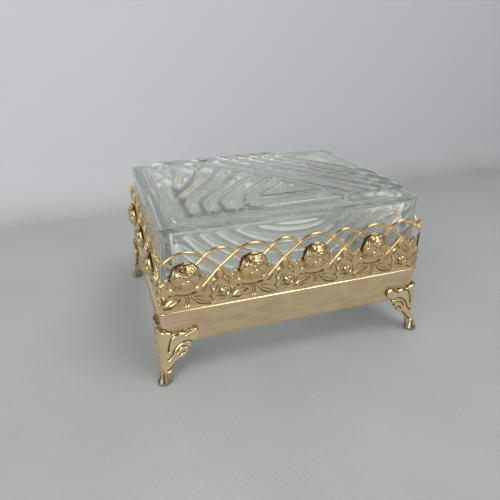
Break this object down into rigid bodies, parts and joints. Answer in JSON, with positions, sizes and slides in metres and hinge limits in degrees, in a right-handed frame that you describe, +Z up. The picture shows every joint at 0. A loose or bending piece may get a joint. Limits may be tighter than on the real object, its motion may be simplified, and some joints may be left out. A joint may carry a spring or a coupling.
{
  "type": "jewelry box",
  "caption": "Footed jewelry box: a pressed-glass box with a lift-off ribbed lid, standing in a gilt metal frame with a pierced rose gallery.",
  "frame": {"origin": "on the table under the middle of the box", "axes": "+X along the long front, to the right; +Y from the front to the back; +Z up"},
  "size_m": [0.1366, 0.1106, 0.0738],
  "materials": {
    "gilt_satin": "satin, brushed lengthways",
    "gilt_bright": "polished, darker in the hollows",
    "gilt_cast": "polished, tarnished at the toes",
    "box_glass": "clear pressed glass",
    "lid_glass": "pressed glass with a faint green tint"
  },
  "bodies": {
    "stand": {"base_pan": "gilt_satin", "foot_rivets": "gilt_satin", "gallery_front": "gilt_bright", "gallery_right": "gilt_bright", "gallery_back": "gilt_bright", "gallery_left": "gilt_bright", "roses_front": "gilt_bright", "roses_right": "gilt_bright", "roses_back": "gilt_bright", "roses_left": "gilt_bright", "foot_front_left": "gilt_cast", "foot_front_right": "gilt_cast", "foot_back_left": "gilt_cast", "foot_back_right": "gilt_cast"},
    "box": {"glass_box": "box_glass"},
    "lid": {"glass_lid": "lid_glass"}
  },
  "joints": [
    {"name": "box_lift", "type": "slide", "parent": "stand", "child": "box", "axis": [0, 0, 1], "range_m": [0, 0.06]},
    {"name": "lid_lift", "type": "slide", "parent": "box", "child": "lid", "axis": [0, 0, 1], "range_m": [0, 0.08]}
  ]
}
